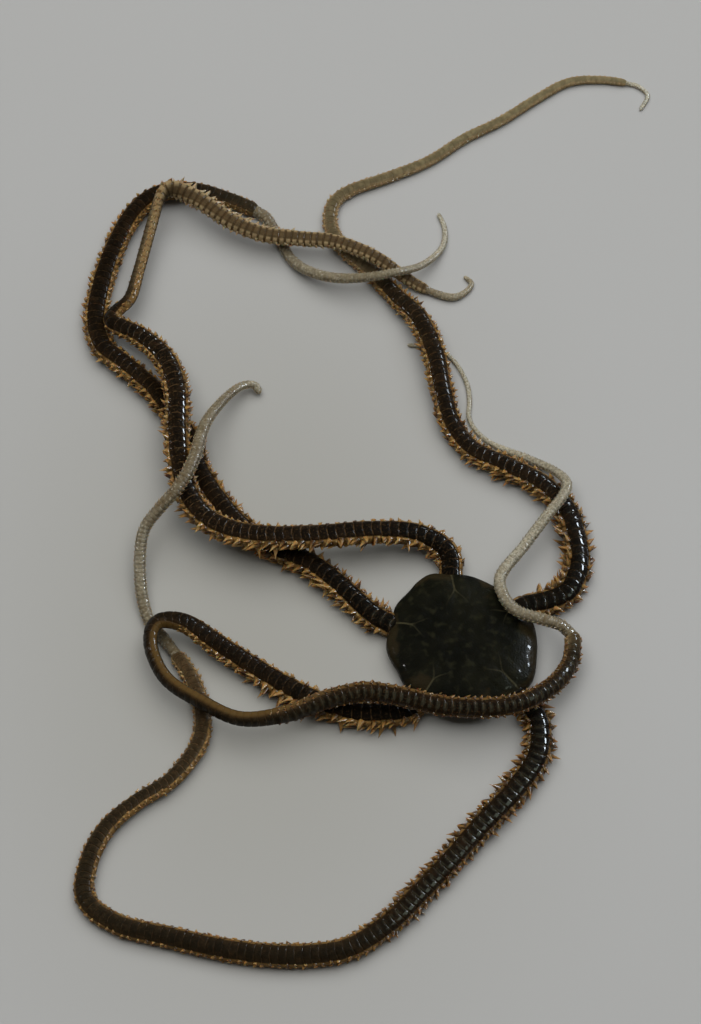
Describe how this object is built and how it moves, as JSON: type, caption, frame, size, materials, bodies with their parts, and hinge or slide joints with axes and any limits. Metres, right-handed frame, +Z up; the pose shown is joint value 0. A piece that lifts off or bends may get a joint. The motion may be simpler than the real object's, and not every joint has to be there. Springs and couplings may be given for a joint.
{
  "type": "brittle star",
  "caption": "Whole brittle star at life size, resting flat with long spiny arms looped over one another; the arm tips are paler where they have grown again.",
  "frame": {"origin": "the middle of the disc's underside, on the floor that the animal lies on", "axes": "+Z up out of the disc's back, +Y away from the viewer along the longest way across the arms, +X to the right"},
  "size_m": [0.0705, 0.1203, 0.0064],
  "materials": {
    "disc_skin": "dark olive-black wet leathery skin",
    "mouth_plates": "tan jaw plates",
    "arm_trunk": "wet black-brown plates with orange-brown flanks and spines",
    "arm_tip": "pale grey-cream regrown arm"
  },
  "bodies": {
    "root": {"arm_a_tip_1": "arm_tip", "arm_a_trunk_1": "arm_trunk", "arm_a_trunk_2": "arm_trunk", "arm_a_trunk_3": "arm_trunk", "arm_a_trunk_4": "arm_trunk", "arm_a_trunk_5": "arm_trunk", "arm_a_trunk_6": "arm_trunk", "arm_a_trunk_7": "arm_trunk", "arm_b_tip_1": "arm_tip", "arm_b_tip_2": "arm_tip", "arm_b_tip_3": "arm_tip", "arm_b_trunk_1": "arm_trunk", "arm_b_trunk_2": "arm_trunk", "arm_b_trunk_3": "arm_trunk", "arm_b_trunk_4": "arm_trunk", "arm_c_tip_1": "arm_tip", "arm_c_trunk_1": "arm_trunk", "arm_c_trunk_2": "arm_trunk", "arm_c_trunk_3": "arm_trunk", "arm_c_trunk_4": "arm_trunk", "arm_c_trunk_5": "arm_trunk", "arm_c_trunk_6": "arm_trunk", "arm_d_tip_1": "arm_tip", "arm_d_tip_2": "arm_tip", "arm_d_tip_3": "arm_tip", "arm_d_trunk_1": "arm_trunk", "arm_d_trunk_2": "arm_trunk", "arm_d_trunk_3": "arm_trunk", "arm_d_trunk_4": "arm_trunk", "arm_d_trunk_5": "arm_trunk", "arm_d_trunk_6": "arm_trunk", "arm_e_tip_1": "arm_tip", "arm_e_tip_2": "arm_tip", "arm_e_tip_3": "arm_tip", "arm_e_tip_4": "arm_tip", "arm_e_tip_5": "arm_tip", "arm_e_tip_6": "arm_tip", "arm_e_trunk_1": "arm_trunk", "arm_e_trunk_2": "arm_trunk", "arm_e_trunk_3": "arm_trunk", "arm_e_trunk_4": "arm_trunk", "arm_e_trunk_5": "arm_trunk", "arm_e_trunk_6": "arm_trunk", "disc": "disc_skin", "mouth_frame": "mouth_plates"}
  },
  "joints": []
}
